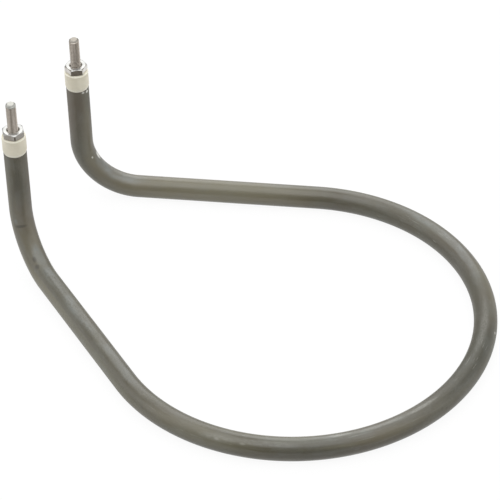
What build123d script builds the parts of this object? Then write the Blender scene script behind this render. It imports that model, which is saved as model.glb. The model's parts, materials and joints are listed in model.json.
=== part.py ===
from build123d import *

import os
from math import cos, radians, sin, tan

# Tubular heating element: a sheathed heater bent to a flat teardrop loop, with both ends turned up.
# The loop lies on the floor plane. +X points from the two ends to the loop's far end, and +Z is up.
# Seen along +X, the left end is on the +Y side and the right end on the -Y side.
# All sizes are millimetres, and angles are degrees.

# Sheath, one bent metal tube
sheath_od = 10.92
sheath_wall = 0.89
mouth_chamfer = 0.3

# Bends of the sheath, on its centreline
loop_radius = 88.4
loop_half_angle = 116.9  # from the loop's far end round to the start of each straight run
right_run = 80.8
left_run = 88.3
bend_radius = 26.8
right_riser = 33.4  # straight length above the bend
left_riser = 32.5

# Terminal pins, each rolled and turned from one rod
pin_od = 4.3  # the shank, and the size that the thread is rolled from
pin_depth = 22.0  # of the shank, below the mouth of the sheath
stud_od = 4.83  # over the crests of the thread
stud_length = 15.1  # above the nut
stud_chamfer = 0.8
spigot_length = 8.0  # of the thin end that the coil is wound on and welded to

# Resistance coil, drawn as the closed outline of its winding
coil_wire_od = 0.5

# Powder that insulates the coil from the sheath
powder_wall = 2.57

# End seals, poured into the mouths of the sheath
seal_length = 5.0

# Ceramic bushings
bushing_overhang = 0.255  # all round, past the outside of the sheath
bushing_height = 9.5
bushing_chamfer = 0.5
bushing_foot_height = 1.5  # of the taper that narrows the barrel down to the mouth
bushing_foot_inset = 0.45
bushing_spigot_length = 3.0
bushing_spigot_gap = 0.1  # all round the spigot, in the mouth of the sheath
bushing_bore_gap = 0.15  # all round the pin

# Terminal nuts
nut_across_flats = 9.525
nut_height = 3.18
nut_face_od = 9.2  # of the flat ring that is left between the trimmed corners
nut_corner_angle = 30.0  # between a face and the cone that trims the corners
nut_countersink_od = 6.4
nut_countersink_angle = 120.0
nut_thread_gap = 0.05
right_nut_turn = 17.0  # from +X to a corner, as tightened
left_nut_turn = 42.0

# Values that follow from the sizes above
UP = Vector(0, 0, 1)
sheath_bore = sheath_od - 2 * sheath_wall
coil_od = sheath_bore - 2 * powder_wall
spigot_od = coil_od - 2 * coil_wire_od
bushing_od = sheath_od + 2 * bushing_overhang
nut_across_corners = nut_across_flats / cos(radians(30))
nut_top = bushing_height + nut_height  # above the mouth of the sheath
fill_depth = bushing_spigot_length + seal_length  # below the mouth of the sheath

# The origin is under the middle of the whole heater, which sets the place of the loop's centre
run_start = radians(loop_half_angle)
end_reach = max(sheath_od, bushing_od, nut_across_corners) / 2
ends_x = loop_radius * cos(run_start) - (max(right_run, left_run) + bend_radius) * sin(run_start)
loop_centre_x = (end_reach - ends_x - loop_radius - sheath_od / 2) / 2


def centreline(trim):
    """The heater's centreline from one end to the other, with each riser cut short by the trim."""
    with BuildLine() as line:
        centre = Vector(loop_centre_x, 0, sheath_od / 2)
        loop = CenterArc(centre, loop_radius, -loop_half_angle, 2 * loop_half_angle)
        for start, away, run, riser in (
            (loop @ 0, -(loop % 0), right_run, right_riser),
            (loop @ 1, loop % 1, left_run, left_riser),
        ):
            foot = start + away * run
            knee = foot + (away + UP) * bend_radius
            Line(start, foot)
            TangentArc(foot, knee, tangent=away)
            Line(knee, knee + UP * (riser - trim))
    return line.wire()


def end_plane(path):
    """The plane square to a path at its first point."""
    return Plane(origin=path @ 0, z_dir=path % 0)


def mouths():
    """The middles of the sheath's two open ends, the right one first."""
    path = centreline(0)
    return sorted((path @ 0, path @ 1), key=lambda point: point.Y)


def save(piece, name):
    """Label a finished piece and write it to its own file."""
    piece.part.label = name
    export_step(piece.part, f"parts/{name}.step")


def make_sheath():
    """The bent tube that holds the heater, its two mouths lightly chamfered outside."""
    path = centreline(0)
    with BuildPart() as tube:
        with BuildSketch(end_plane(path)):
            Circle(sheath_od / 2)
            Circle(sheath_bore / 2, mode=Mode.SUBTRACT)
        sweep(path=path)
        for end in tube.faces().filter_by(GeomType.PLANE):
            chamfer(end.outer_wire().edges(), length=mouth_chamfer)
    return tube


def make_pin(mouth):
    """A terminal pin: a threaded stud outside, a plain shank, and a thin end inside the coil.

    Where the threads of pin and nut interlock, both are drawn at the pitch diameter,
    which is the shank's own size.
    """
    with BuildPart() as pin:
        with BuildSketch(Plane(mouth - UP * (pin_depth + spigot_length))):
            Circle(spigot_od / 2)
        extrude(amount=spigot_length)
        with BuildSketch(Plane(mouth - UP * pin_depth)):
            Circle(pin_od / 2)
        extrude(amount=pin_depth + nut_top)
        with BuildSketch(Plane(mouth + UP * nut_top)):
            Circle(stud_od / 2)
        extrude(amount=stud_length)
        tip = pin.faces().sort_by(Axis.Z)[-1]
        chamfer(tip.edges(), length=stud_chamfer)
    return pin


def make_coil(ends):
    """The winding, as one closed rod along the centreline, with a socket for each pin's thin end."""
    path = centreline(pin_depth)
    with BuildPart() as winding:
        with BuildSketch(end_plane(path)):
            Circle(coil_od / 2)
        sweep(path=path)
        for mouth in ends:
            with BuildSketch(Plane(mouth - UP * pin_depth)):
                Circle(spigot_od / 2)
            extrude(amount=-spigot_length, mode=Mode.SUBTRACT)
    return winding


def make_fill(inner_pieces):
    """The packed powder that fills the sheath round the pins and the coil.

    It is cut by the pieces themselves, so it lies against them.
    """
    path = centreline(fill_depth)
    with BuildPart() as powder:
        with BuildSketch(end_plane(path)):
            Circle(sheath_bore / 2)
        sweep(path=path)
        for piece in inner_pieces:
            add(piece.part, mode=Mode.SUBTRACT)
    return powder


def make_seal(mouth):
    """The seal poured round the pin, between the powder and the bushing's spigot."""
    with BuildPart() as plug:
        with BuildSketch(Plane(mouth - UP * fill_depth)):
            Circle(sheath_bore / 2)
            Circle(pin_od / 2, mode=Mode.SUBTRACT)
        extrude(amount=seal_length)
    return plug


def make_bushing(mouth):
    """A ceramic bushing that stands on the mouth of the sheath, with its spigot inside it."""
    barrel = bushing_od / 2
    spigot = sheath_bore / 2 - bushing_spigot_gap
    bore = pin_od / 2 + bushing_bore_gap
    with BuildPart() as ceramic:
        with BuildSketch(Plane(origin=mouth, x_dir=(1, 0, 0), z_dir=(0, -1, 0))):
            with BuildLine():
                Polyline(
                    (bore, -bushing_spigot_length),
                    (spigot, -bushing_spigot_length),
                    (spigot, 0),
                    (barrel - bushing_foot_inset, 0),
                    (barrel, bushing_foot_height),
                    (barrel, bushing_height - bushing_chamfer),
                    (barrel - bushing_chamfer, bushing_height),
                    (bore, bushing_height),
                    close=True,
                )
            make_face()
        revolve(axis=Axis(mouth, UP))
    return ceramic


def make_nut(mouth, turn):
    """A hexagon nut tightened on a bushing, trimmed and countersunk on both faces."""
    seat = mouth + UP * bushing_height
    face_radius = nut_face_od / 2
    cone_radius = face_radius + nut_height / 2 / tan(radians(nut_corner_angle))
    with BuildPart() as hexagon:
        with BuildSketch(Plane(seat)):
            RegularPolygon(nut_across_corners / 2, 6, rotation=turn)
        extrude(amount=nut_height)
        with BuildSketch(Plane(origin=seat, x_dir=(1, 0, 0), z_dir=(0, -1, 0))):
            with BuildLine():
                Polyline(
                    (0, 0),
                    (face_radius, 0),
                    (cone_radius, nut_height / 2),
                    (face_radius, nut_height),
                    (0, nut_height),
                    close=True,
                )
            make_face()
        # Two cones, base to base, trim the six corners
        revolve(axis=Axis(seat, UP), mode=Mode.INTERSECT)
        for face in (Plane(seat + UP * nut_height), -Plane(seat)):
            with Locations(face):
                CounterSinkHole(
                    pin_od / 2 + nut_thread_gap,
                    nut_countersink_od / 2,
                    counter_sink_angle=nut_countersink_angle,
                )
    return hexagon


os.makedirs("parts", exist_ok=True)
right_mouth, left_mouth = mouths()

right_pin = make_pin(right_mouth)
left_pin = make_pin(left_mouth)
coil = make_coil((right_mouth, left_mouth))

save(make_sheath(), "sheath")
save(make_fill((right_pin, left_pin, coil)), "magnesia_fill")
save(coil, "resistance_coil")
save(right_pin, "right_terminal_pin")
save(left_pin, "left_terminal_pin")
for side, mouth, turn in (
    ("right", right_mouth, right_nut_turn),
    ("left", left_mouth, left_nut_turn),
):
    save(make_seal(mouth), f"{side}_end_seal")
    save(make_bushing(mouth), f"{side}_bushing")
    save(make_nut(mouth, turn), f"{side}_nut")
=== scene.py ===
# %% [markdown]
# # A tubular heating element
#
# The object is one metal tube bent to a flat teardrop loop, with both ends turned up. Each end carries a
# ceramic bushing, a hexagon nut and a threaded stud. Inside the tube a resistance coil runs in packed powder.
#
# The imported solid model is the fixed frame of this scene: it says where every piece is and how large. The
# cells below take their places from that frame, grow the pieces around it, and give each piece its finish.

import json
from math import acos, atan2, cos, pi, radians, sin, tan

import bmesh
import bpy
from mathutils import Matrix, Vector


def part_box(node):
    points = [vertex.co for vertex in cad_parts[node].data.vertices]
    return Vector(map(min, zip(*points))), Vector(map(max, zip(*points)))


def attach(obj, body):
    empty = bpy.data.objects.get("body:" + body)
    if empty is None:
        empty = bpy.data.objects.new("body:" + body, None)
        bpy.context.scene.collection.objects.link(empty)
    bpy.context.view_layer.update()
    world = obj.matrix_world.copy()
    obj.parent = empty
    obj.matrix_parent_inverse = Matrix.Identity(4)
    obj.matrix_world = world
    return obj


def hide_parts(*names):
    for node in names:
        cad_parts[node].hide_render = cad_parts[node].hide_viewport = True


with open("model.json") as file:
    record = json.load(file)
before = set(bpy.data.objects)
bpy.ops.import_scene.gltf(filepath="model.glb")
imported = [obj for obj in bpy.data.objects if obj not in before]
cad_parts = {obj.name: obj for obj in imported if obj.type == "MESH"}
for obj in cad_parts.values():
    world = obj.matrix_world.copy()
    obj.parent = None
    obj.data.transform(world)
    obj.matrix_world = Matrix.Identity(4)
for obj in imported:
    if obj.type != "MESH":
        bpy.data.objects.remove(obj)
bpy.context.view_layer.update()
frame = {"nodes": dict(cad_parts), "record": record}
MM = 0.001
SIDES = ("right", "left")
print("nodes:", sorted(frame["nodes"]))

# %% [markdown]
# ## Reading the sizes from the frame
#
# Sizes could be typed in again, but then they could differ from the solid model. So they are read: the
# record's mounts give the axis, the radius and the middle of both upright ends, and the boxes of the nodes
# give most of the rest. The loop is a circle that the two straight runs leave at a tangent, so its radius,
# its centre and the place of one upright end fix the whole bend. A size that no box shows, such as a wall or
# a bore, is a named value where it is first needed.

# %% Measure both ends of the heater
mounts = {mount["name"]: mount for mount in frame["record"]["mounts"]}
tube_radius = mounts["right_riser"]["dims"]["r_mm"] * MM
stud_radius = mounts["right_stud"]["dims"]["r_mm"] * MM
BUSHING_SPIGOT = 3.0 * MM
axis_at, knee_height, mouth_height, nut_top = {}, {}, {}, {}
for side in SIDES:
    riser, stud = mounts[f"{side}_riser"], mounts[f"{side}_stud"]
    axis_at[side] = Vector(riser["pos_m"][:2])
    mouth_height[side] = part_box(f"{side}_bushing")[0].z + BUSHING_SPIGOT
    knee_height[side] = 2 * riser["pos_m"][2] - mouth_height[side]
    nut_top[side] = stud["pos_m"][2]
bend_radius = knee_height["right"] - tube_radius
print("mouths at", {side: round(z / MM, 2) for side, z in mouth_height.items()}, "mm")

# %% Measure the loop
sheath_low, sheath_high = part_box("sheath")
loop_radius = (sheath_high.y - sheath_low.y) / 2 - tube_radius
loop_centre = Vector((sheath_high.x - loop_radius - tube_radius, 0, tube_radius))
print("loop radius", round(loop_radius / MM, 2), "centre", [round(v / MM, 2) for v in loop_centre])

# %% [markdown]
# ## The centreline
#
# Every long piece follows the same line: the tube, the coil and the powder inside the coil. It could be a
# Bezier curve with handles, but straight stretches and arcs are what a bending machine makes, and they are
# easier to keep exact as points. Beside each point the list keeps the direction that points away from the
# loop, level with the floor. The mesh of edges also stores the distance along the line. With that pair any
# later step can tell where on the tube it is and which way round.

# %% Build the centreline
ARC_STEP = radians(1.5)
UP = Vector((0, 0, 1))


def half_line(side):
    """Points and outward directions from one mouth to the loop's far end."""
    sign = -1 if side == "right" else 1
    reach = axis_at[side] - loop_centre.xy
    turn = acos(loop_radius / reach.length)
    touch = sign * (abs(atan2(reach.y, reach.x)) - turn)
    outward = Vector((cos(touch), sin(touch), 0))
    away = Vector((-outward.y, outward.x, 0)) * sign
    knee = Vector((*axis_at[side], knee_height[side]))
    points = [(Vector((*axis_at[side], mouth_height[side])), outward)]
    steps = round(pi / 2 / ARC_STEP)
    centre = knee - away * bend_radius
    for step in range(steps + 1):
        angle = pi / 2 * step / steps
        points.append((centre + (away * cos(angle) - UP * sin(angle)) * bend_radius, outward))
    steps = round(abs(touch) / ARC_STEP)
    for step in range(steps + 1):
        angle = touch * (1 - step / steps)
        outward = Vector((cos(angle), sin(angle), 0))
        points.append((loop_centre + outward * loop_radius, outward))
    return points


def line_length(points):
    """The length of a list of points with their outward directions."""
    return sum((b[0] - a[0]).length for a, b in zip(points, points[1:]))


# The left half is turned round, without the far point that both halves share
centreline = half_line("right") + half_line("left")[-2::-1]
heater_length = line_length(centreline)
print("centreline", len(centreline), "points,", round(heater_length / MM, 1), "mm long")

# %% Turn points into an edge mesh that carries the numbers
def add_object(name, data):
    """A new object of the scene that holds a mesh, a lamp or a camera."""
    made = bpy.data.objects.new(name, data)
    bpy.context.scene.collection.objects.link(made)
    return made


def chain(name, points, radii=None):
    """A mesh of edges along the points, with their distance, outward direction and radius stored on it."""
    mesh = bpy.data.meshes.new(name)
    mesh.from_pydata([p for p, _ in points], [(i, i + 1) for i in range(len(points) - 1)], [])
    for label, kind in (("along", "FLOAT"), ("scale", "FLOAT"), ("outward", "FLOAT_VECTOR")):
        mesh.attributes.new(label, kind, "POINT")
    along, scale, outward = (mesh.attributes[label].data for label in ("along", "scale", "outward"))
    travelled = 0.0
    for i, (point, direction) in enumerate(points):
        if i:
            travelled += (point - points[i - 1][0]).length
        along[i].value = travelled
        outward[i].vector = direction
        scale[i].value = radii[i] if radii else 1.0
    return add_object(name, mesh)


def trimmed(points, trim):
    """The same points with both straight ends cut back by the trim."""
    ends = []
    for first, second in ((points[0], points[1]), (points[-1], points[-2])):
        direction = (second[0] - first[0]).normalized()
        ends.append((first[0] + direction * trim, first[1]))
    return [ends[0], *points[1:-1], ends[1]]


# %% [markdown]
# ## Helpers for node trees
#
# Shapes and finishes are both trees of nodes. One helper adds a node and fills in its inputs, so that each
# tree further down reads as a list of steps. Sizes come in through named inputs, which the modifier knows by
# identifier and not by name.

# %% Node helpers
def fill_in(tree, node, inputs):
    """Fills in a node's inputs. A value that is itself a socket is linked, and any other is set."""
    for key, value in inputs.items():
        if isinstance(value, bpy.types.NodeSocket):
            tree.links.new(value, node.inputs[key])
        else:
            node.inputs[key].default_value = value


def add_node(tree, kind, inputs=None, **settings):
    """Adds a node with its settings and its inputs, and gives its outputs."""
    made = tree.nodes.new(kind)
    for key, value in settings.items():
        setattr(made, key, value)
    fill_in(tree, made, inputs or {})
    return made.outputs


def maths(tree, operation, a, b=0.0, c=0.0):
    """The result of one step of arithmetic, in a shape tree or a material."""
    return add_node(tree, "ShaderNodeMath", {0: a, 1: b, 2: c}, operation=operation)[0]


def times(tree, product, *factors):
    """The product of two numbers or more."""
    for factor in factors:
        product = maths(tree, "MULTIPLY", product, factor)
    return product


def vector_maths(tree, operation, a, b=(0, 0, 0), scale=1.0):
    """A step of vector arithmetic. Dot products and lengths come out of the second socket."""
    results = add_node(tree, "ShaderNodeVectorMath", {0: a, 1: b, 3: scale}, operation=operation)
    return results[1 if operation in ("DOT_PRODUCT", "LENGTH") else 0]


# %% Helpers for shape trees
def new_shape_tree(name, **inputs):
    """A geometry tree with a geometry, the named inputs and a material, and what its start gives."""
    tree = bpy.data.node_groups.new(name, "GeometryNodeTree")
    tree.interface.new_socket("Geometry", in_out="INPUT", socket_type="NodeSocketGeometry")
    for label, kind in inputs.items():
        tree.interface.new_socket(label, in_out="INPUT", socket_type=f"NodeSocket{kind}")
    tree.interface.new_socket("Material", in_out="INPUT", socket_type="NodeSocketMaterial")
    tree.interface.new_socket("Geometry", in_out="OUTPUT", socket_type="NodeSocketGeometry")
    return tree, tree.nodes.new("NodeGroupInput").outputs


def stored(tree, name, data_type="FLOAT_VECTOR"):
    """The value of a named attribute in a shape tree."""
    return add_node(tree, "GeometryNodeInputNamedAttribute", {"Name": name}, data_type=data_type)[0]


def store(tree, geometry, name, value):
    """The geometry with a vector stored under a name on its points."""
    return add_node(
        tree, "GeometryNodeStoreNamedAttribute", {"Geometry": geometry, "Name": name, "Value": value},
        data_type="FLOAT_VECTOR", domain="POINT",
    )[0]


def chain_curve(tree, start):
    """The chain that comes into a shape tree, as a curve."""
    return add_node(tree, "GeometryNodeMeshToCurve", {"Mesh": start["Geometry"]})[0]


def sweep_circle(tree, curve, sides, radius, caps=True, scale=1.0):
    """The skin of a circle that is swept along a curve."""
    circle = {"Resolution": sides, "Radius": radius}
    ring = add_node(tree, "GeometryNodeCurvePrimitiveCircle", circle)[0]
    inputs = {"Curve": curve, "Profile Curve": ring, "Scale": scale, "Fill Caps": caps}
    return add_node(tree, "GeometryNodeCurveToMesh", inputs)[0]


def close_tree(tree, start, skin):
    """Ends a shape tree: smooth shading, real geometry instead of instances, and the finish on all of it."""
    smooth = add_node(tree, "GeometryNodeSetShadeSmooth", {"Geometry": skin})[0]
    real = add_node(tree, "GeometryNodeRealizeInstances", {"Geometry": smooth})[0]
    inputs = {"Geometry": real, "Material": start["Material"]}
    painted = add_node(tree, "GeometryNodeSetMaterial", inputs)[0]
    add_node(tree, "NodeGroupOutput", {"Geometry": painted})


# %% Helpers that make a piece and place it
def grow(name, seed, tree, **values):
    """Runs a shape tree on a seed object and keeps the result as a plain mesh."""
    modifier = seed.modifiers.new("grow", "NODES")
    modifier.node_group = tree
    for socket in tree.interface.items_tree:
        if socket.in_out == "INPUT" and socket.name in values:
            modifier[socket.identifier] = values[socket.name]
    depsgraph = bpy.context.evaluated_depsgraph_get()
    mesh = bpy.data.meshes.new_from_object(seed.evaluated_get(depsgraph))
    seed.modifiers.remove(modifier)
    bpy.data.objects.remove(seed)
    mesh.name = name
    return add_object(name, mesh)


def place_in_frame(piece, slot, *nodes):
    """Hangs the piece on the root body and hides the nodes that it replaces. The slot is not used."""
    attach(piece, "root")
    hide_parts(*nodes)
    triangles = sum(len(face.vertices) - 2 for face in piece.data.polygons)
    print(piece.name, "has", triangles, "triangles")


# %% [markdown]
# ## Helpers for finishes
#
# Each finish is a Principled shader whose colour, roughness and bump come from noise. Noise needs a place to
# read: the object's own coordinates for the small pieces, and for the bent tube its straightened coordinates,
# so that drawing lines run along it round every bend. Colours are written as the screen shows them, from 0
# to 255, and one helper turns them into the linear values that a shader wants.

# %% Material helpers
NOISE_SPAN = (0.3, 0.7)  # where nearly all values of the noise lie


def new_finish(name):
    """A material with its tree, its shader and nothing else."""
    material = bpy.data.materials.new(name)
    material.use_nodes = True
    tree = material.node_tree
    return material, tree, tree.nodes["Principled BSDF"]


def object_place(tree, scale=(1, 1, 1)):
    """The object's own coordinates in metres, stretched by the scale."""
    coordinates = add_node(tree, "ShaderNodeTexCoord")["Object"]
    return vector_maths(tree, "MULTIPLY", coordinates, scale)


def straight_place(tree, scale=(1, 1, 1)):
    """The straightened coordinates of a swept piece in metres, stretched by the scale."""
    coordinates = add_node(tree, "ShaderNodeAttribute", attribute_name="straight")["Vector"]
    return vector_maths(tree, "MULTIPLY", coordinates, scale)


def noise(tree, place, scale, detail=3.0, roughness=0.5):
    """Smooth noise between 0 and 1, with scale in cells per metre."""
    inputs = {"Vector": place, "Scale": scale, "Detail": detail, "Roughness": roughness}
    return add_node(tree, "ShaderNodeTexNoise", inputs)["Fac"]


def remap(tree, value, low, high, new_low=0.0, new_high=1.0):
    """The value moved from one range to another and held inside it."""
    inputs = {0: value, 1: low, 2: high, 3: new_low, 4: new_high}
    return add_node(tree, "ShaderNodeMapRange", inputs, interpolation_type="SMOOTHSTEP")[0]


def uneven(tree, place, scale, detail, low=0.0, high=1.0):
    """A number that wanders between two levels in soft patches."""
    return remap(tree, noise(tree, place, scale, detail), *NOISE_SPAN, low, high)


def relief(tree, height, strength, distance):
    """Small bumps from a height between 0 and 1, with their depth in metres."""
    inputs = {"Height": height, "Strength": strength, "Distance": distance}
    return add_node(tree, "ShaderNodeBump", inputs)[0]


def linear(red, green, blue):
    """A linear opaque colour from screen values between 0 and 255."""
    shown = (red / 255, green / 255, blue / 255)
    return (*(v / 12.92 if v <= 0.04045 else ((v + 0.055) / 1.055) ** 2.4 for v in shown), 1.0)


def layered(tree, tone, *layers):
    """A colour with others laid over it. Each layer is how much of it covers, and its screen values."""
    for cover, *shown in layers:
        inputs = {0: cover, 6: tone, 7: linear(*shown)}
        tone = add_node(tree, "ShaderNodeMix", inputs, data_type="RGBA")[2]
    return tone


# %% [markdown]
# ## Oxidised sheath
#
# The tube is a nickel alloy that has been annealed, which leaves a thin dark olive-grey oxide. It is neither
# bare metal nor paint: broad reflections still show in it, but softly. They stretch round the tube, because
# drawing has left fine lines along it. So the shader is anisotropic, and its tangent follows the tube.
#
# One even colour would look like plastic. Heat and bending have left paler, darker and warmer stretches, and
# handling has left scuffing, scratches and chips. Some marks are painted light instead: one long dark stretch
# over the top of the loop's far end is painted shade that dims the highlight there, the pale bluish marks and
# bright ridges along the top are partly painted highlight, and one bright spot on the bend near the left end
# is a painted glint. A painted image could hold all these marks, but it would have to be fitted round every
# bend. Here each mark is a soft spot in straightened coordinates, placed by its distance along the tube and
# its heading round it, and noise breaks up the scuffing.
#
# A mark is written as its middle in millimetres from the right mouth, its heading in degrees, its length
# along the tube and its width round it in millimetres, and its strength. Heading 0 is the side that faces
# away from the loop, and 90 is the top where the tube lies.

# %% Helpers for marks
def window(tree, value, start, end, fade):
    """1 between start and end, falling to 0 over the fade on both sides."""
    rise = remap(tree, value, start - fade, start)
    fall = remap(tree, value, end, end + fade, 1.0, 0.0)
    return times(tree, rise, fall)


def tube_position(tree):
    """The distance along the tube in metres, and the heading round it in radians."""
    along, outward, upward = add_node(tree, "ShaderNodeSeparateXYZ", {0: straight_place(tree)})
    return along, maths(tree, "ARCTAN2", upward, outward)


def spot(tree, along, around, middle, heading, length, width):
    """1 in the middle of a mark, falling to 0 at its oval edge."""
    ahead = maths(tree, "DIVIDE", maths(tree, "SUBTRACT", along, middle * MM), length * MM / 2)
    aside = maths(tree, "WRAP", maths(tree, "SUBTRACT", around, radians(heading)), pi, -pi)
    aside = times(tree, aside, tube_radius / (width * MM / 2))
    apart = maths(tree, "ADD", times(tree, ahead, ahead), times(tree, aside, aside))
    return remap(tree, apart, 1.0, 0.0)


def spots(tree, marks):
    """All marks of a list in one mask, the stronger one where two overlap."""
    along, around = tube_position(tree)
    mask = 0.0
    for *place, strength in marks:
        mark = times(tree, spot(tree, along, around, *place), strength)
        mask = maths(tree, "MAXIMUM", mask, mark)
    return mask


# %% Even oxide
def tube_textures(tree):
    """Broad clouds, lines along the tube and fine grain, which colour, gloss and relief share."""
    clouds = noise(tree, straight_place(tree, (0.3, 1, 1)), 110, 4, 0.6)
    lines = noise(tree, straight_place(tree, (0.06, 1, 1)), 1500, 3, 0.6)
    grain = noise(tree, straight_place(tree), 900, 4, 0.6)
    return clouds, lines, grain


def even_oxide(tree, clouds, lines, grain):
    """The oxide where nothing has touched it."""
    return layered(
        tree, linear(67, 62, 43),
        (remap(tree, clouds, 0.35, 0.65), 82, 80, 65),
        (remap(tree, grain, 0.5, 0.75, 0.0, 0.6), 56, 53, 38),
        (remap(tree, lines, 0.5, 0.75, 0.0, 0.4), 98, 97, 88),
    )


# %% Stretches that heat and bending have toned, and one of painted shade
OLIVE_STRETCHES = (
    (45, 75, 60, 14, 0.8), (105, 6, 220, 8, 0.8), (205, 40, 70, 12, 0.6), (240, 110, 80, 6, 0.3),
    (285, 40, 60, 6, 0.6), (400, 70, 60, 10, 0.6), (575, 145, 150, 24, 1.0), (645, 135, 70, 10, 0.5),
)
PALE_STRETCHES = (
    (50, 95, 50, 10, 0.2), (85, 12, 70, 7, 0.35), (570, 178, 130, 9, 0.45), (617, 152, 70, 9, 0.45),
    (650, 132, 50, 8, 0.2),
)
# Darker tone; the long stretch at 366 mm over the top is painted shade that dims the highlight there
DARK_AND_SHADED_STRETCHES = (
    (18, 70, 40, 6, 0.35), (110, 55, 130, 4, 0.25), (262, 10, 60, 6, 0.5), (262, 58, 70, 4, 0.4),
    (325, 75, 60, 6, 0.4), (355, 62, 90, 8, 0.8), (366, 102, 150, 13, 0.75), (420, 150, 100, 7, 0.4),
    (622, 178, 44, 8, 0.15), (660, 165, 50, 6, 0.2),
)
COOL_STRETCH = (60 * MM, 610 * MM)  # between the two warm ends
COOL_FADE = 30 * MM


def tone_stretches(tree, oxide):
    """Olive, pale and dark stretches, one of them painted shade, and the brown warmth that is strongest at
    both ends.
    """
    cool = window(tree, tube_position(tree)[0], *COOL_STRETCH, COOL_FADE)
    warmth = remap(tree, noise(tree, straight_place(tree, (0.5, 1, 1)), 60, 2), 0.35, 0.72, 0.0, 0.6)
    warmth = times(tree, warmth, remap(tree, cool, 0.0, 1.0, 1.0, 0.35))
    return layered(
        tree, oxide,
        (spots(tree, OLIVE_STRETCHES), 104, 100, 80),
        (spots(tree, PALE_STRETCHES), 124, 118, 99),
        (spots(tree, DARK_AND_SHADED_STRETCHES), 43, 41, 25),
        (warmth, 88, 77, 64),
    )


# %% Scuffs, painted highlights and stains
# Pale bluish marks: scuffing, and where they lie along the top (heading near 90) partly painted highlight
SCUFFS_AND_TOP_HIGHLIGHTS = (
    (39, 35, 5, 2.5, 0.5), (52, 20, 22, 6, 0.4), (62, 94, 20, 7, 0.9), (80, 90, 40, 7, 0.55),
    (108, 88, 50, 7, 0.5), (120, 15, 130, 6, 0.3), (150, 95, 60, 6, 0.4), (270, 88, 110, 5, 0.38),
    (440, 92, 90, 6, 0.5), (620, 105, 50, 9, 0.6),
)
STAINS = ((42, 55, 2.5, 8, 0.6), (63, 65, 5, 2.5, 0.6), (68, 60, 4, 3, 0.6))


def scuff_and_stain(tree, oxide):
    """Pale, slightly blue marks, partly scuffing and partly painted highlight along the top, fainter ones
    elsewhere, and dark stains.
    """
    patches = remap(tree, noise(tree, straight_place(tree, (0.5, 1, 1)), 170, 5, 0.65), 0.42, 0.68)
    scuffed_and_lit = times(tree, spots(tree, SCUFFS_AND_TOP_HIGHLIGHTS), remap(tree, patches, 0.0, 1.0, 0.45, 1.0))
    pale_marks = maths(tree, "MAXIMUM", scuffed_and_lit, times(tree, patches, 0.12))
    return layered(tree, oxide, (pale_marks, 116, 121, 119), (spots(tree, STAINS), 48, 45, 36))


# %% Scratches, worn ridges with painted highlights, chips and a painted glint
SCRATCHED_STRETCH = (200 * MM, 460 * MM)
SCRATCH_FADE = 50 * MM
# Bright ridges along the top: partly wear, partly painted highlight
WORN_AND_HIGHLIT_RIDGES = (
    (216, 50, 22, 4, 0.5), (238, 62, 34, 4, 0.35), (270, 98, 14, 2.4, 1.0), (291, 90, 30, 2.0, 0.6),
    (312, 90, 24, 2.4, 0.9), (375, 95, 50, 4, 0.4),
)
# The spot at 635.5 mm is a painted glint on the bend; the others are chips
CHIPS_AND_GLINT = (
    (216, 46, 3, 1.4, 0.18), (227.5, 48, 3.5, 1.4, 0.14), (374, 26, 2.2, 1.4, 0.5), (635.5, 87, 7, 2.4, 1.0),
    (638, 131, 1.8, 1.2, 0.7), (678.8, 113.6, 2.0, 2.2, 1.0), (679.2, 140.6, 1.4, 1.8, 0.8),
)


def wear_down(tree, oxide):
    """Hair scratches along the loop, crumbled bright ridges that are partly painted highlight, chips down to
    the bare metal, and a painted glint.
    """
    hairs = remap(tree, noise(tree, straight_place(tree, (0.03, 1, 1)), 2600, 1, 0.4), 0.68, 0.72)
    broken = remap(tree, noise(tree, straight_place(tree), 130, 2), 0.52, 0.60)
    zone = window(tree, tube_position(tree)[0], *SCRATCHED_STRETCH, SCRATCH_FADE)
    scratches = times(tree, maths(tree, "MULTIPLY", hairs, broken), zone)
    crumbs = noise(tree, straight_place(tree, (0.5, 1, 1)), 1100, 4, 0.7)
    crumbs = remap(tree, crumbs, *NOISE_SPAN, 0.1, 0.4)
    return layered(
        tree, oxide,
        (times(tree, scratches, 0.25), 176, 176, 168),
        (times(tree, spots(tree, WORN_AND_HIGHLIT_RIDGES), crumbs), 172, 172, 165),
        (spots(tree, CHIPS_AND_GLINT), 205, 205, 198),
    )


# %% Finish of the sheath
DULL_STRETCHES = ((365, 100, 150, 16, 0.15),)
OXIDE_IOR = 1.65
DRAWN_ANISOTROPY = 0.7


def make_sheath_finish():
    """Dark olive-grey oxide with its tones, its wear, and the soft lines that drawing leaves."""
    material, tree, shader = new_finish("oxidised_sheath")
    clouds, lines, grain = tube_textures(tree)
    oxide = even_oxide(tree, clouds, lines, grain)
    for coat in (tone_stretches, scuff_and_stain, wear_down):
        oxide = coat(tree, oxide)
    heading = add_node(tree, "ShaderNodeAttribute", attribute_name="heading")["Vector"]
    rough = remap(tree, clouds, *NOISE_SPAN, 0.30, 0.40)
    rough = maths(tree, "ADD", rough, times(tree, remap(tree, lines, *NOISE_SPAN), 0.06))
    rough = maths(tree, "ADD", rough, spots(tree, DULL_STRETCHES))
    waves = noise(tree, straight_place(tree, (0.12, 1, 1)), 260, 2)
    fine = maths(tree, "ADD", times(tree, lines, 0.25), times(tree, grain, 0.2))
    fill_in(tree, shader, {
        "Base Color": oxide, "IOR": OXIDE_IOR, "Roughness": rough,
        "Anisotropic": DRAWN_ANISOTROPY, "Tangent": heading,
        "Normal": relief(tree, maths(tree, "ADD", fine, waves), 0.5, 0.00015),
    })
    return material


sheath_finish = make_sheath_finish()
print("made", sheath_finish.name, "with", len(sheath_finish.node_tree.nodes), "nodes")

# %% [markdown]
# ## The sheath
#
# A real tube is drawn straight and then bent. A Curve modifier could bend a straight tube here too, but
# sweeping a circle along the centreline gives even rings and exact bends. The tree also works out, for each
# point of the skin, how far along and which way round it is. A Solidify modifier then gives the tube its real
# wall, with the bore left open behind the mouths.

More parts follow.
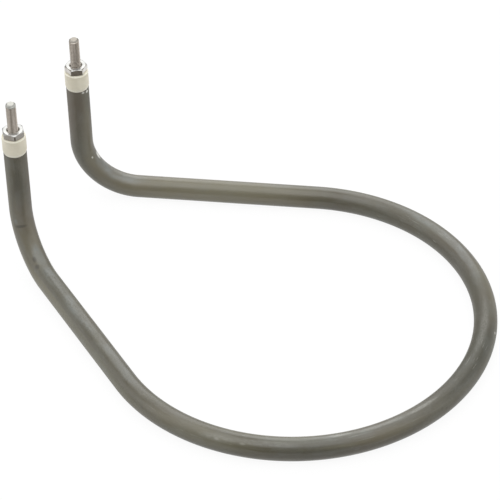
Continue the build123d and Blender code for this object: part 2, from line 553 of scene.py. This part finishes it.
# %% Tree that sweeps a round bar along a line
def make_sweep_tree():
    """A circle swept along a chain, with straightened coordinates stored on the skin."""
    tree, start = new_shape_tree("swept_round_bar", Radius="Float", Sides="Int", Caps="Bool")
    here = add_node(tree, "GeometryNodeInputPosition")[0]
    curve = store(tree, chain_curve(tree, start), "centre", here)
    curve = store(tree, curve, "heading", add_node(tree, "GeometryNodeInputTangent")[0])
    scale = stored(tree, "scale", "FLOAT")
    skin = sweep_circle(tree, curve, start["Sides"], start["Radius"], start["Caps"], scale)
    outward = stored(tree, "outward")
    sideways = vector_maths(tree, "CROSS_PRODUCT", outward, stored(tree, "heading"))
    arm = vector_maths(tree, "SUBTRACT", here, stored(tree, "centre"))
    parts = {
        0: stored(tree, "along", "FLOAT"),
        1: vector_maths(tree, "DOT_PRODUCT", arm, outward),
        2: vector_maths(tree, "DOT_PRODUCT", arm, sideways),
    }
    straight = add_node(tree, "ShaderNodeCombineXYZ", parts)[0]
    close_tree(tree, start, store(tree, skin, "straight", straight))
    return tree


sweep_tree = make_sweep_tree()
print("made", sweep_tree.name)

# %% Sweep the sheath and give it its wall
SHEATH_WALL = 0.89 * MM
MOUTH_CHAMFER = 0.3 * MM
SHEATH_SIDES = 72


def with_chamfered_mouths(points):
    """The points with one more near each mouth, and radii that narrow the mouths by the chamfer."""
    inner = trimmed(points, MOUTH_CHAMFER)
    longer = [points[0], inner[0], *points[1:-1], inner[-1], points[-1]]
    narrow = (tube_radius - MOUTH_CHAMFER) / tube_radius
    return longer, [narrow] + [1.0] * (len(longer) - 2) + [narrow]


sheath = grow(
    "bent_sheath", chain("sheath_line", *with_chamfered_mouths(centreline)), sweep_tree,
    Radius=tube_radius, Sides=SHEATH_SIDES, Caps=False, Material=sheath_finish,
)
wall = sheath.modifiers.new("wall", "SOLIDIFY")
wall.thickness = SHEATH_WALL
wall.offset = -1
wall.use_even_offset = True
place_in_frame(sheath, "sheath", "sheath")

# %% [markdown]
# ## Turned pieces
#
# The ceramic bushing is pressed and fired as a body of revolution. Its profile is a closed list of radius and
# height. Spinning such a list by hand keeps every face a neat quad and needs no clean-up. The nut uses the
# same helper: there the radius and the height may change with the angle, which turns the round blank into a
# hexagon. A Bevel modifier then rounds the edges, as tumbling and plating do.
#
# Each step of a profile makes one ring of faces, so a number can be stored on the faces of a step. A finish
# reads it as an attribute, and that's how one material tells a faced surface from a rough one.

# %% Spin a closed profile
COLUMNS = 96  # round each piece, a multiple of six so that some fall on a hexagon's corners


def spun(name, profile, material, centre, turn=0.0):
    """A closed ring made by spinning a profile: each entry gives radius and height at an angle."""
    shape = bmesh.new()
    rings = []
    for entry in profile:
        ring = []
        for column in range(COLUMNS):
            angle = 2 * pi * column / COLUMNS
            radius, height = entry(angle) if callable(entry) else entry
            arm = Vector((radius * cos(angle + turn), radius * sin(angle + turn), height))
            ring.append(shape.verts.new(centre + arm))
        rings.append(ring)
    for i, ring in enumerate(rings):
        above = rings[(i + 1) % len(rings)]
        for column in range(COLUMNS):
            beside = (column + 1) % COLUMNS
            shape.faces.new((ring[column], ring[beside], above[beside], above[column]))
    bmesh.ops.recalc_face_normals(shape, faces=shape.faces[:])
    for face in shape.faces:
        face.smooth = True
    mesh = bpy.data.meshes.new(name)
    shape.to_mesh(mesh)
    shape.free()
    mesh.materials.append(material)
    return add_object(name, mesh)


# %% Mark and soften a spun piece
def mark_faces(piece, **marks):
    """Stores numbers on the faces. Each comes from a function of the step of the profile and the face."""
    for name, value in marks.items():
        numbers = piece.data.attributes.new(name, "FLOAT", "FACE").data
        for face in piece.data.polygons:
            numbers[face.index].value = value(face.index // COLUMNS, face)


def read_mark(tree, name):
    """A number that is stored on the faces, read in a material."""
    return add_node(tree, "ShaderNodeAttribute", attribute_name=name)["Fac"]


def soften(piece, width, angle):
    """Rounds the edges that are sharper than the angle in degrees, and shades the flats as flats."""
    edges = piece.modifiers.new("edges", "BEVEL")
    edges.width = width
    edges.segments = 3
    edges.limit_method = "ANGLE"
    edges.angle_limit = radians(angle)
    edges.harden_normals = True


# %% [markdown]
# ## Ceramic
#
# The bushings are unglazed steatite: cream, dense and faintly speckled, with a soft sheen where the mould
# polished it. The barrel narrows to a tapered foot on the mouth of the tube, and its upper edge is chamfered.
# The foot and the chamfer are painted a little paler than the barrel, as painted light. A touch of light
# passes under the surface, which keeps the ceramic from looking like paint.

# %% Finish of the ceramic
def make_ceramic_finish():
    """Cream unglazed ceramic, mottled and faintly speckled, with painted light on the foot and the chamfer.
    """
    material, tree, shader = new_finish("cream_ceramic")
    place = object_place(tree)
    tone = layered(
        tree, linear(222, 216, 197),
        (uneven(tree, place, 220, 3), 214, 208, 188),
        # painted light: the tapered foot and the chamfer are paler
        (read_mark(tree, "edge"), 228, 224, 208),
        (remap(tree, noise(tree, place, 2600, 2, 0.7), 0.66, 0.76, 0.0, 0.5), 178, 169, 148),
    )
    fill_in(tree, shader, {
        "Base Color": tone, "Roughness": uneven(tree, place, 700, 3, 0.42, 0.56),
        "Subsurface Weight": 0.06, "Subsurface Scale": 0.5,
        "Subsurface Radius": (0.0012, 0.001, 0.0007),
        "Normal": relief(tree, noise(tree, place, 3200, 3), 0.2, 0.00003),
    })
    return material


ceramic_finish = make_ceramic_finish()
print("made", ceramic_finish.name)

# %% Spin the bushings
BUSHING_CHAMFER = 0.5 * MM
BUSHING_BORE = 4.6 * MM
BUSHING_ROUNDING = 0.12 * MM
BUSHING_SHARP = 12  # degrees, past which an edge is rounded
SPIGOT_GAP = 0.1 * MM
FOOT_HEIGHT = 1.5 * MM
FOOT_INSET = 0.45 * MM
# these steps are painted paler, as painted light
LIT_EDGE_STEPS = (3, 5)  # of the profile: the tapered foot and the chamfer
sheath_bore = tube_radius - SHEATH_WALL


def make_bushing(side):
    """One bushing: a barrel with a tapered foot, a spigot inside the tube and a bore for the pin."""
    low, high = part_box(f"{side}_bushing")
    outer, bore = (high.x - low.x) / 2, BUSHING_BORE / 2
    spigot = sheath_bore - SPIGOT_GAP
    base, top = mouth_height[side], high.z
    profile = [
        (bore, low.z), (spigot, low.z), (spigot, base), (outer - FOOT_INSET, base),
        (outer, base + FOOT_HEIGHT), (outer, top - BUSHING_CHAMFER), (outer - BUSHING_CHAMFER, top),
        (bore, top),
    ]
    centre = Vector((*axis_at[side], 0))
    piece = spun(f"{side}_ceramic", profile, ceramic_finish, centre)
    mark_faces(piece, edge=lambda step, face: float(step in LIT_EDGE_STEPS))
    soften(piece, BUSHING_ROUNDING, BUSHING_SHARP)
    place_in_frame(piece, "bushing_ceramic", f"{side}_bushing")


for side in SIDES:
    make_bushing(side)

# %% [markdown]
# ## Plated nuts
#
# A machine nut is a slice of hexagon bar. Both faces are trimmed by a shallow cone, which cuts the corners to
# the round arcs that show on each flat, and the hole is countersunk. A Boolean could cut all that from a
# prism. But at each angle the hexagon has one radius and the cone one height, so the same spinning helper
# draws it cleanly, with columns that fall exactly on the corners.
#
# The plating is bright where a tool has faced the nut and greyer on the flats of the bar. Each flat carries a
# painted reflection of its own, lighter or darker, and the corner trims carry painted highlights. One corner
# carries a painted shadow as a dark line. The countersink is matt, and painted pale to lift its shade. On one
# side the upper face carries a painted highlight and the countersink painted light, with painted shade in the
# countersink on both sides of it.

# %% Finish of the nuts
def make_nut_finish():
    """Plated steel: bright where a tool has faced it, greyer on the flats, matt in the countersink, with
    painted light and shade.
    """
    material, tree, shader = new_finish("plated_nut_steel")
    place = object_place(tree)
    faced, sunk, burnish, frost, dust, grime = (
        read_mark(tree, mark) for mark in ("faced", "sunk", "burnish", "frost", "dust", "grime")
    )
    grain = noise(tree, object_place(tree, (1, 1, 0.3)), 700, 3, 0.6)
    # Over the plating lie painted reflections on the flats, a painted pale countersink, painted shade and
    # light in it, and a painted highlight on the upper face
    tone = layered(
        tree, linear(80, 74, 65),
        (burnish, 230, 227, 222),
        (remap(tree, grain, 0.35, 0.7, 0.0, 0.4), 128, 119, 107),
        (faced, 160, 160, 158),
        (sunk, 215, 211, 204),
        (grime, 92, 86, 76),
        (dust, 186, 180, 170),
        (frost, 240, 238, 233),
    )
    rough = uneven(tree, place, 900, 3, 0.26, 0.34)
    fill_in(tree, shader, {
        "Base Color": tone,
        # Where light and a highlight are painted, the surface is not metallic
        "Metallic": maths(tree, "SUBTRACT", 1.0, maths(tree, "MAXIMUM", dust, frost)),
        "Roughness": maths(tree, "ADD", rough, times(tree, sunk, 0.25)),
        "Normal": relief(tree, noise(tree, place, 1500, 3), 0.08, 0.00002),
    })
    return material


nut_finish = make_nut_finish()
print("made", nut_finish.name)

# %% Shape of a nut
NUT_FLAT = 9.525 * MM
NUT_FACE = 9.2 * MM
NUT_SINK = 6.4 * MM
NUT_BORE = 4.4 * MM
CORNER_ANGLE = radians(30)
SINK_ANGLE = radians(120)
SINK_DEPTH = (NUT_SINK - NUT_BORE) / 2 / tan(SINK_ANGLE / 2)


def hexagon_radius(angle):
    """The radius of the hexagon bar at an angle from one of its corners."""
    from_flat = (angle % (pi / 3)) - pi / 6
    return NUT_FLAT / 2 / cos(from_flat)


def corner_edge(face_height, inwards):
    """The edge between a flat and the cone that trims the corners, as an entry of the profile."""
    def at(angle):
        radius = hexagon_radius(angle)
        drop = max(0.0, radius - NUT_FACE / 2) * tan(CORNER_ANGLE)
        return radius, face_height + inwards * drop
    return at


def nut_profile(bottom, top):
    """The closed profile of a nut, from its lower countersink round the outside to the upper one."""
    return [
        (NUT_BORE / 2, bottom + SINK_DEPTH), (NUT_SINK / 2, bottom), (NUT_FACE / 2, bottom),
        corner_edge(bottom, 1), corner_edge(top, -1), (NUT_FACE / 2, top), (NUT_SINK / 2, top),
        (NUT_BORE / 2, top - SINK_DEPTH),
    ]


print("countersinks", round(SINK_DEPTH / MM, 3), "mm deep")

# %% Marks on the nuts
NUT_TURN = {"right": radians(17), "left": radians(42)}
FLAT_STEP, CONE_STEPS, SINK_STEPS = 3, (2, 4), (0, 6, 7)  # of the profile
# Painted reflections: how light or dark each flat is, and painted highlights on the corner trims beside each
# flat
PAINTED_FLAT_REFLECTIONS = {"right": (0.5, 0.5, 0.5, 0.5, 0.32, 0.31), "left": (0.5, 0.4, 0.5, 0.8, 0.05, 0.95)}
CORNER_HIGHLIGHTS = {"right": (0.5, 1.0, 1.0, 0.4, 1.0, 1.0), "left": (0.5, 1.0, 1.0, 0.1, 1.0, 0.3)}
# the painted sheen on faces that are not flats
PLAIN_SHEEN = 0.1
# One corner of the right nut has a painted shadow: a dark line
SHADED_CORNER = {"right": radians(300), "left": None}
# Painted light round one heading: a highlight on the upper face, light in the countersink, shade on both
# sides
HIGHLIT_STEP, LIT_SINK_STEP = 5, 6
LIGHT_HEADING = radians(-49)
LIP_HIGHLIGHT = 0.35
LIGHT_FALL, SHADE_FALL = 2, 1.2  # how fast each fades away from its own heading


def nut_marks(side, centre):
    """What the faces of a nut store, as functions of the step of the profile and the face."""
    def heading(face):
        arm = face.center - centre
        return atan2(arm.y, arm.x)

    def from_corner(face):
        return (heading(face) - NUT_TURN[side]) % (2 * pi)

    def of_flat(values, face):
        return values[side][int(from_corner(face) / (pi / 3)) % 6]

    # Painted reflection of each flat, the painted corner shadow, and a little painted sheen elsewhere
    def burnish(step, face):
        if step != FLAT_STEP:
            return PLAIN_SHEEN
        # At the shaded corner a painted shadow replaces the flat's painted reflection
        shadow_corner = SHADED_CORNER[side]
        in_shadow = shadow_corner is not None and abs(from_corner(face) - shadow_corner) < 2 * pi / COLUMNS
        return 0.0 if in_shadow else of_flat(PAINTED_FLAT_REFLECTIONS, face)

    # Faces cut by a tool are bright; on the corner trims the value is a painted highlight that differs from
    # flat to flat
    def faced(step, face):
        return of_flat(CORNER_HIGHLIGHTS, face) if step in CONE_STEPS else float(step != FLAT_STEP)

    # Countersinks and bore: matt, with a pale tone that is painted light lifting their shade
    def sunk(step, face):
        return float(step in SINK_STEPS)

    # How nearly a face points to the heading of the painted light
    def towards_light(face):
        return cos(heading(face) - LIGHT_HEADING)

    # Painted highlight on the upper face, strongest towards the lit heading
    def frost(step, face):
        return LIP_HIGHLIGHT * max(0.0, towards_light(face)) if step == HIGHLIT_STEP else 0.0

    # Painted light in the countersink towards that heading
    def dust(step, face):
        return min(1.0, max(0.0, LIGHT_FALL * towards_light(face))) if step == LIT_SINK_STEP else 0.0

    # Painted shade in the countersink on both sides of the lit heading
    def grime(step, face):
        return max(0.0, 1 - SHADE_FALL * abs(towards_light(face))) if step == LIT_SINK_STEP else 0.0

    return dict(burnish=burnish, faced=faced, sunk=sunk, frost=frost, dust=dust, grime=grime)


# %% Spin the nuts
NUT_ROUNDING = 0.07 * MM
NUT_SHARP = 20  # degrees, past which an edge is rounded


def make_nut(side):
    """One nut with its marks, trimmed and countersunk on both faces."""
    low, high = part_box(f"{side}_nut")
    centre = Vector((*axis_at[side], 0))
    profile = nut_profile(low.z, high.z)
    piece = spun(f"{side}_hexagon_nut", profile, nut_finish, centre, NUT_TURN[side])
    mark_faces(piece, **nut_marks(side, centre))
    soften(piece, NUT_ROUNDING, NUT_SHARP)
    place_in_frame(piece, "plated_nut", f"{side}_nut")


for side in SIDES:
    make_nut(side)

# %% [markdown]
# ## Terminal pins
#
# A terminal pin is one rod. Its outer end has a rolled thread, its middle is a plain shank in the powder, and
# its inner end is thin, for the coil to be wound on. A thread is a ridge that climbs one pitch for each turn,
# so it can be drawn as a height field: the radius at a point depends only on its height less its share of a
# turn. The tree sweeps the rod first and then cuts the groove into it by moving the skin inwards.
#
# The rod was drawn before it was threaded, so faint streaks run along the stud. Its chamfered tip was turned
# last: it has no streaks, and on the left stud it is darker and warmer than on the right one.

# %% Finish of the studs
TIP_CHAMFER = 0.8 * MM


def make_stud_finish():
    """Satin stainless steel, streaked along its length, with a turned tip."""
    material, tree, shader = new_finish("rolled_stud_steel")
    _, place_y, place_z = add_node(tree, "ShaderNodeSeparateXYZ", {0: object_place(tree)})
    streaks = noise(tree, object_place(tree, (1, 1, 0.02)), 900, 2, 0.5)
    tips = [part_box(f"{side}_terminal_pin")[1].z for side in SIDES]
    turned = maths(tree, "GREATER_THAN", place_z, min(tips) - TIP_CHAMFER)
    # the left stud's tip is darker and warmer
    turned_left = times(tree, turned, maths(tree, "GREATER_THAN", place_y, 0.0))
    tone = layered(
        tree, linear(150, 143, 134),
        (remap(tree, streaks, 0.35, 0.65), 188, 181, 173),
        (turned, 158, 158, 153),
        (turned_left, 140, 136, 129),
    )
    fill_in(tree, shader, {
        "Base Color": tone, "Metallic": 1.0, "Specular Tint": linear(150, 146, 142),
        "Roughness": remap(tree, streaks, *NOISE_SPAN, 0.38, 0.32),
    })
    return material


stud_finish = make_stud_finish()
print("made", stud_finish.name)

# %% Tree that cuts a thread into a rod
THREAD_FLANK = (0.125, 0.4375)  # from the root's edge to the crest's, as shares of the pitch from the root
THREAD_TURN = 0.5  # of the start of the thread, as a share of a turn
NO_RADIUS = 1e-6  # keeps the division below finite on the rod's axis


def make_thread_tree():
    """A rod swept along a chain, with a helical groove cut above a given height."""
    tree, start = new_shape_tree(
        "rolled_thread", Sides="Int", Pitch="Float", Depth="Float", Axis="Vector", Crest="Float",
    )
    rod_radius = stored(tree, "scale", "FLOAT")
    skin = sweep_circle(tree, chain_curve(tree, start), start["Sides"], 1.0, scale=rod_radius)
    here = add_node(tree, "GeometryNodeInputPosition")[0]
    arm = vector_maths(tree, "SUBTRACT", here, start["Axis"])
    flat_arm = vector_maths(tree, "MULTIPLY", arm, (1, 1, 0))
    arm_x, arm_y, height = add_node(tree, "ShaderNodeSeparateXYZ", {0: arm})
    radius = vector_maths(tree, "LENGTH", flat_arm)
    turns = maths(tree, "DIVIDE", maths(tree, "ARCTAN2", arm_y, arm_x), 2 * pi)
    turns = maths(tree, "SUBTRACT", turns, THREAD_TURN)
    climbed = maths(tree, "DIVIDE", height, start["Pitch"])
    phase = maths(tree, "FRACT", maths(tree, "SUBTRACT", climbed, turns))
    from_root = maths(tree, "ABSOLUTE", maths(tree, "SUBTRACT", phase, 0.5))
    flank = {0: from_root, 1: THREAD_FLANK[0], 2: THREAD_FLANK[1]}
    ridge = add_node(tree, "ShaderNodeMapRange", flank)[0]
    groove = times(tree, maths(tree, "SUBTRACT", 1.0, ridge), start["Depth"])
    thread = maths(tree, "SUBTRACT", start["Crest"], groove)
    kept = maths(tree, "MINIMUM", radius, thread)
    ratio = maths(tree, "DIVIDE", kept, maths(tree, "MAXIMUM", radius, NO_RADIUS))
    move = vector_maths(tree, "SCALE", flat_arm, scale=maths(tree, "SUBTRACT", ratio, 1.0))
    above = maths(tree, "GREATER_THAN", height, 0.0)
    inputs = {"Geometry": skin, "Selection": above, "Offset": move}
    close_tree(tree, start, add_node(tree, "GeometryNodeSetPosition", inputs)[0])
    return tree


thread_tree = make_thread_tree()
print("made", thread_tree.name)

# %% Roll the pins
THREAD_PITCH = 25.4 / 32 * MM  # 32 threads to the inch
THREAD_DEPTH = 0.6134 * THREAD_PITCH  # the share that the unified thread has
THREAD_ROWS_PER_PITCH = 14
SHANK_RADIUS = 2.15 * MM
SPIGOT_RADIUS = 1.5 * MM
SPIGOT_LENGTH = 8.0 * MM
LEAD_IN_SLOPE = 1.7
SHOULDER = 0.03 * MM
PIN_SIDES = 60


def stud_rows(thread_start, top):
    """Heights and radii of the stud: a lead-in, the full thread and the chamfered tip."""
    rows = []
    step = THREAD_PITCH / THREAD_ROWS_PER_PITCH
    height = thread_start + step
    while height < top - step / 2:
        lead_in = SHANK_RADIUS + (height - thread_start) * LEAD_IN_SLOPE
        from_tip = stud_radius - TIP_CHAMFER + (top - height)
        rows.append((height, min(stud_radius, lead_in, from_tip)))
        height += step
    return rows + [(top, stud_radius - TIP_CHAMFER)]


def make_pin(side):
    """One pin from its thin inner end to the chamfered tip of its stud."""
    low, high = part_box(f"{side}_terminal_pin")
    shank_start = low.z + SPIGOT_LENGTH
    thread_start = nut_top[side] - SINK_DEPTH
    rows = [
        (low.z, SPIGOT_RADIUS), (shank_start - SHOULDER, SPIGOT_RADIUS), (shank_start, SHANK_RADIUS),
        (thread_start, SHANK_RADIUS), *stud_rows(thread_start, high.z),
    ]
    points = [(Vector((*axis_at[side], height)), Vector((1, 0, 0))) for height, _ in rows]
    pin = grow(
        f"{side}_threaded_pin", chain("pin_line", points, [radius for _, radius in rows]), thread_tree,
        Sides=PIN_SIDES, Pitch=THREAD_PITCH, Depth=THREAD_DEPTH, Crest=stud_radius,
        Axis=Vector((*axis_at[side], thread_start)), Material=stud_finish,
    )
    place_in_frame(pin, "terminal_steel", f"{side}_terminal_pin")


for side in SIDES:
    make_pin(side)

# %% [markdown]
# ## Resistance coil
#
# The heating wire is wound on a mandrel and stretched into the tube, so it is a helix whose axis is the
# centreline. A Screw modifier makes a straight helix only, and this one has to go round the bends. Inside the
# tree the line is resampled to a fixed number of points a turn, each point steps off the axis by the
# winding's radius, and a thin circle is swept along the result.

# %% Finish of the wire
def make_wire_finish():
    """Drawn nickel chromium wire, satin, with a thin oxide."""
    material, tree, shader = new_finish("drawn_wire")
    place = object_place(tree)
    fill_in(tree, shader, {
        "Base Color": layered(tree, linear(150, 146, 140), (uneven(tree, place, 400, 3), 118, 112, 106)),
        "Metallic": 1.0, "Roughness": uneven(tree, place, 1500, 2, 0.3, 0.45),
    })
    return material


wire_finish = make_wire_finish()
print("made", wire_finish.name)

# %% Tree that winds a wire round a line
def make_winding_tree():
    """A helix round a chain: the line is resampled, pushed off its axis and swept with a thin circle."""
    tree, start = new_shape_tree(
        "wound_wire", Turns="Float", StepsPerTurn="Int", WindingRadius="Float", WireRadius="Float",
        WireSides="Int",
    )
    count = times(tree, start["Turns"], start["StepsPerTurn"])
    inputs = {"Curve": chain_curve(tree, start), "Count": count}
    curve = add_node(tree, "GeometryNodeResampleCurve", inputs)[0]
    travelled = add_node(tree, "GeometryNodeSplineParameter")["Factor"]
    angle = times(tree, maths(tree, "MULTIPLY", travelled, start["Turns"]), 2 * pi)
    outward = vector_maths(tree, "NORMALIZE", stored(tree, "outward"))
    heading = add_node(tree, "GeometryNodeInputTangent")[0]
    sideways = vector_maths(tree, "CROSS_PRODUCT", outward, heading)
    push = vector_maths(
        tree, "ADD",
        vector_maths(tree, "SCALE", outward, scale=maths(tree, "COSINE", angle)),
        vector_maths(tree, "SCALE", sideways, scale=maths(tree, "SINE", angle)),
    )
    push = vector_maths(tree, "SCALE", push, scale=start["WindingRadius"])
    curve = add_node(tree, "GeometryNodeSetPosition", {"Geometry": curve, "Offset": push})[0]
    close_tree(tree, start, sweep_circle(tree, curve, start["WireSides"], start["WireRadius"]))
    return tree


winding_tree = make_winding_tree()
print("made", winding_tree.name)

# %% Wind the coil
WIRE_OD = 0.5 * MM
COIL_OD = 4.0 * MM
COIL_PITCH = 1.0 * MM
STEPS_PER_TURN = 12
WIRE_SIDES = 6
pin_depth = mouth_height["right"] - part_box("right_terminal_pin")[0].z - SPIGOT_LENGTH
coil_line = trimmed(centreline, pin_depth)
coil_turns = round((line_length(coil_line) - WIRE_OD) / COIL_PITCH)
coil = grow(
    "wound_resistance_coil", chain("coil_line", trimmed(coil_line, WIRE_OD / 2)), winding_tree,
    Turns=float(coil_turns), StepsPerTurn=STEPS_PER_TURN, WindingRadius=(COIL_OD - WIRE_OD) / 2,
    WireRadius=WIRE_OD / 2, WireSides=WIRE_SIDES, Material=wire_finish,
)
place_in_frame(coil, "resistance_wire", "resistance_coil")
print("coil turns", coil_turns)

# %% [markdown]
# ## Powder and seals
#
# Packed magnesium oxide fills the tube round the coil, and a silicone plug closes each mouth under the
# bushing. Their solids already have the right shape, so they stay as they are and only get a finish. The
# powder inside the winding is one more sweep of the same tree.

# %% Finishes of powder and seals
def make_powder_finish():
    """Matt, chalky and slightly grainy."""
    material, tree, shader = new_finish("packed_powder")
    place = object_place(tree)
    grains = remap(tree, noise(tree, place, 1200, 4, 0.7), 0.35, 0.7)
    fill_in(tree, shader, {
        "Base Color": layered(tree, linear(233, 230, 222), (grains, 212, 207, 196)), "Roughness": 0.95,
        "Normal": relief(tree, noise(tree, place, 5000, 3, 0.7), 0.5, 0.00005),
    })
    return material


def make_seal_finish():
    """Cured pale silicone, smooth and slightly glossy."""
    material, tree, shader = new_finish("cured_silicone")
    place = object_place(tree)
    fill_in(tree, shader, {
        "Base Color": layered(tree, linear(231, 228, 218), (uneven(tree, place, 500, 2), 216, 211, 198)),
        "Roughness": uneven(tree, place, 800, 2, 0.22, 0.36),
        "Subsurface Weight": 0.1, "Subsurface Scale": 0.5,
        "Subsurface Radius": (0.001, 0.001, 0.0008),
        "Normal": relief(tree, noise(tree, place, 1400, 2), 0.15, 0.00004),
    })
    return material


def repaint(node, material):
    """Gives a solid of the frame another finish, with its mesh left alone."""
    slots = frame["nodes"][node].data.materials
    slots.clear()
    slots.append(material)
    print(node, "is now", material.name)


powder_finish = make_powder_finish()
seal_finish = make_seal_finish()
repaint("magnesia_fill", powder_finish)
for side in SIDES:
    repaint(f"{side}_end_seal", seal_finish)

# %% Powder inside the winding
CORE_SIDES = 16
core = grow(
    "powder_core", chain("core_line", trimmed(centreline, pin_depth + SPIGOT_LENGTH)), sweep_tree,
    Radius=SPIGOT_RADIUS, Sides=CORE_SIDES, Caps=True, Material=powder_finish,
)
place_in_frame(core, "magnesia", "resistance_coil")

# %% [markdown]
# ## Floor and light
#
# The object lies on plain white. The floor is a real one, so it lights the tube from below and keeps a faint
# shadow, but most of the white that the camera or a reflection sees is its own. A floor that was only bright
# would lose the shadow, and one that was only lit would turn grey.
#
# The light is that of a plain white studio: a white surrounding, a large soft lamp overhead, another behind
# the heater, and a weak one on each side. The surrounding is dimmer on the side where the camera stands, and
# that gives the upright ends and the round stretches their dark middle.

# %% Floor
FLOOR_HALF = 15.0
FLOOR_OWN_WHITE = 0.88  # the share of its own white in what a ray sees
FLOOR_GLOW = 1.05
FLOOR_GREY = 0.6


def background_seen(tree):
    """1 for rays that show the background: from the camera, in a reflection or through glass."""
    rays = add_node(tree, "ShaderNodeLightPath")
    seen = maths(tree, "MAXIMUM", rays["Is Camera Ray"], rays["Is Glossy Ray"])
    return maths(tree, "MAXIMUM", seen, rays["Is Transmission Ray"])


def make_floor():
    """A wide white floor that shows as plain white, with the object's shadow left in it."""
    material, tree, shader = new_finish("white_floor")
    fill_in(tree, shader, {"Base Color": (FLOOR_GREY, FLOOR_GREY, FLOOR_GREY, 1), "Roughness": 0.9})
    glow = add_node(tree, "ShaderNodeEmission", {"Color": (1, 1, 1, 1), "Strength": FLOOR_GLOW})[0]
    share = times(tree, background_seen(tree), FLOOR_OWN_WHITE)
    mixed = add_node(tree, "ShaderNodeMixShader", {0: share, 1: shader.outputs[0], 2: glow})[0]
    fill_in(tree, tree.nodes["Material Output"], {"Surface": mixed})
    corners = [(x * FLOOR_HALF, y * FLOOR_HALF, 0) for x, y in ((-1, -1), (1, -1), (1, 1), (-1, 1))]
    mesh = bpy.data.meshes.new("floor")
    mesh.from_pydata(corners, [], [(0, 1, 2, 3)])
    mesh.materials.append(material)
    floor = add_object("floor", mesh)
    return floor


print("floor", make_floor().dimensions.x, "m wide")

# %% Surrounding
DIMMER_SIDE = Vector((0.585, -0.811, 0.09)).normalized()
DIMMER_START, DIMMER_END, DIMMER_LEVEL = 0.5, 0.95, 0.3  # cosines from that side, and how dim it gets
DIFFUSE_SHARE = 0.75


def make_world():
    """A white surrounding, dimmer for diffuse light and towards the side where the camera stands."""
    world = bpy.data.worlds.new("studio")
    bpy.context.scene.world = world
    world.use_nodes = True
    tree = world.node_tree
    direction = add_node(tree, "ShaderNodeTexCoord")["Generated"]
    facing = vector_maths(tree, "DOT_PRODUCT", direction, DIMMER_SIDE)
    level = remap(tree, facing, DIMMER_START, DIMMER_END, 1.0, DIMMER_LEVEL)
    share = {0: background_seen(tree), 3: DIFFUSE_SHARE, 4: 1.0}
    level = times(tree, level, add_node(tree, "ShaderNodeMapRange", share)[0])
    camera_ray = add_node(tree, "ShaderNodeLightPath")["Is Camera Ray"]
    strength = maths(tree, "MAXIMUM", level, camera_ray)
    fill_in(tree, tree.nodes["Background"], {"Color": (1, 1, 1, 1), "Strength": strength})


make_world()

# %% Lamps
LAMPS_AIM = Vector((0, 0, 0.03))


def add_lamp(name, place, width, height, power):
    """A soft rectangular lamp that shines at the heater and that the camera doesn't see."""
    lamp = bpy.data.lights.new(name, "AREA")
    lamp.shape = "RECTANGLE"
    lamp.size, lamp.size_y = width, height
    lamp.energy = power
    made = add_object(name, lamp)
    made.location = place
    made.rotation_mode = "QUATERNION"
    made.rotation_quaternion = (LAMPS_AIM - Vector(place)).to_track_quat("-Z", "Y")
    made.visible_camera = False
    print(name, "lamp,", power, "W")


add_lamp("overhead", (0.12, -0.17, 1.5), 1.6, 1.6, 12)
add_lamp("behind", (-0.75, 1.03, 0.95), 1.8, 1.1, 11)
add_lamp("left_side", (-1.0, -0.68, 0.6), 0.8, 1.0, 2.6)
add_lamp("right_side", (1.0, 0.68, 0.6), 0.8, 1.0, 2)

# %% [markdown]
# ## Camera
#
# The camera stands where the photograph was taken from. That place was fitted to the tube's outline: a long
# lens from about 1.4 metres away, looking down at 40 degrees and turned a little about its own axis. Such a
# lens keeps the near and the far upright end almost the same size.

# %% Camera
CAMERA_PLACE = Vector((607.9, -838.5, 904.1)) * MM
CAMERA_AIM = Vector((-17.76, 28.34, 5.46)) * MM
CAMERA_ROLL = radians(-1.928)
FOCAL_PIXELS = 2921.3
PICTURE_PIXELS = 500
SENSOR_MM = 36.0

lens = bpy.data.cameras.new("camera")
lens.sensor_width = SENSOR_MM
lens.lens = FOCAL_PIXELS / PICTURE_PIXELS * SENSOR_MM
lens.clip_start, lens.clip_end = 0.05, 50
camera = add_object("camera", lens)
look = (CAMERA_AIM - CAMERA_PLACE).to_track_quat("-Z", "Y").to_matrix()
look @= Matrix.Rotation(CAMERA_ROLL, 3, "Z")
camera.matrix_world = Matrix.Translation(CAMERA_PLACE) @ look.to_4x4()
bpy.context.scene.camera = camera
bpy.context.scene.view_settings.view_transform = "Standard"
print("lens", round(lens.lens, 1), "mm")
